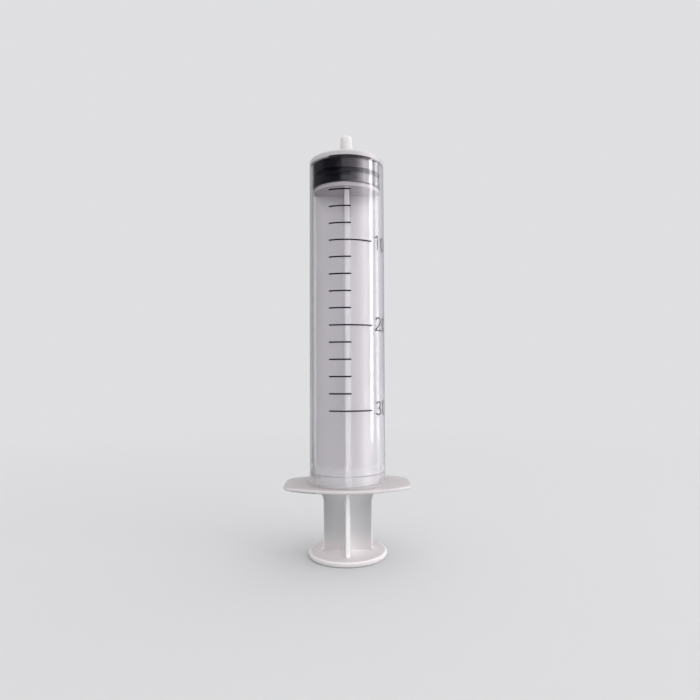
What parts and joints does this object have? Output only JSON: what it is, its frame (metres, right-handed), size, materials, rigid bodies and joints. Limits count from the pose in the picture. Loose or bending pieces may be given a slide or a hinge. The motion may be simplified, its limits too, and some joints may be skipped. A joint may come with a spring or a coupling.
{
  "type": "disposable syringe",
  "caption": "Upright disposable syringe: clear tubular barrel with finger flange and slip nozzle, cross-ribbed plunger rod and black rubber piston.",
  "frame": {"origin": "centre of the thumb disc's underside, on which the syringe stands with its plunger fully in", "axes": "+Z along the barrel towards the nozzle tip, X along the finger flange, -Y towards the side that carries the printed scale"},
  "size_m": [0.0402, 0.0264, 0.1354],
  "materials": {
    "clear_polypropylene": "gloss, translucent, uncoloured",
    "natural_polypropylene": "satin, milky, uncoloured",
    "black_rubber": "smooth, lightly siliconed",
    "scale_ink": "black printing ink"
  },
  "bodies": {
    "barrel": {"barrel": "clear_polypropylene"},
    "piston": {"rubber_piston": "black_rubber"},
    "rod": {"plunger_rod": "natural_polypropylene"}
  },
  "joints": [
    {"name": "piston_slide", "type": "slide", "parent": "barrel", "child": "piston", "axis": [0, 0, -1], "range_m": [0, 0.0902]},
    {"name": "rod_turn", "type": "hinge", "parent": "piston", "child": "rod", "pos_m": [0, 0, 0.1195], "axis": [0, 0, 1], "continuous": true}
  ]
}
